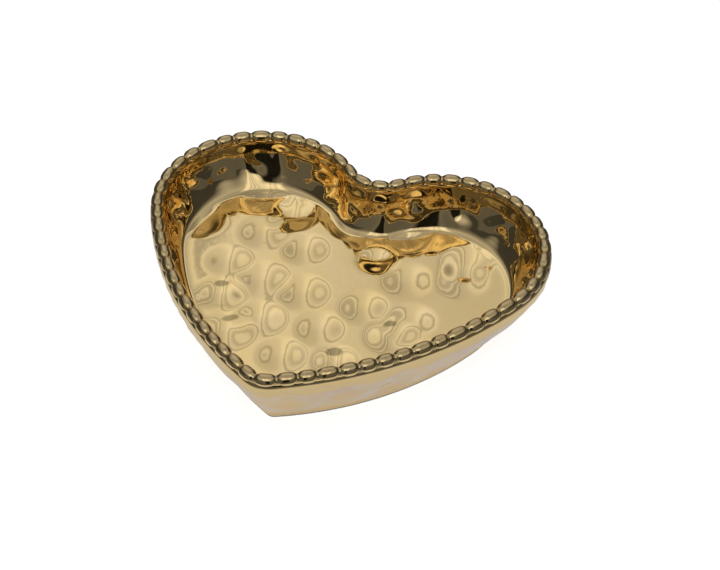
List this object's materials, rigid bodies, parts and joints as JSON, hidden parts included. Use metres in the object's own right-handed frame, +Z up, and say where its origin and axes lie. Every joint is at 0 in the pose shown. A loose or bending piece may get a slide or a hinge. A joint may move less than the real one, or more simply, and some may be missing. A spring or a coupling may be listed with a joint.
{
  "type": "heart-shaped trinket dish",
  "caption": "Open heart-shaped trinket dish with a beaded rim, a dimpled floor and flared walls on a small foot ring, in mirror-gold glazed ceramic.",
  "frame": {"origin": "middle of the dish's outline, on the plane that its foot ring stands on", "axes": "+Z up, -Y towards the heart's tip, X across the two lobes"},
  "size_m": [0.1256, 0.1047, 0.0246],
  "materials": {
    "gold_glaze": "mirror gold lustre glaze",
    "bare_ceramic": "unglazed, matte"
  },
  "bodies": {
    "root": {"wall": "gold_glaze", "floor_plate": "gold_glaze", "foot_ring": "bare_ceramic", "rim_beads": "gold_glaze"}
  },
  "joints": []
}
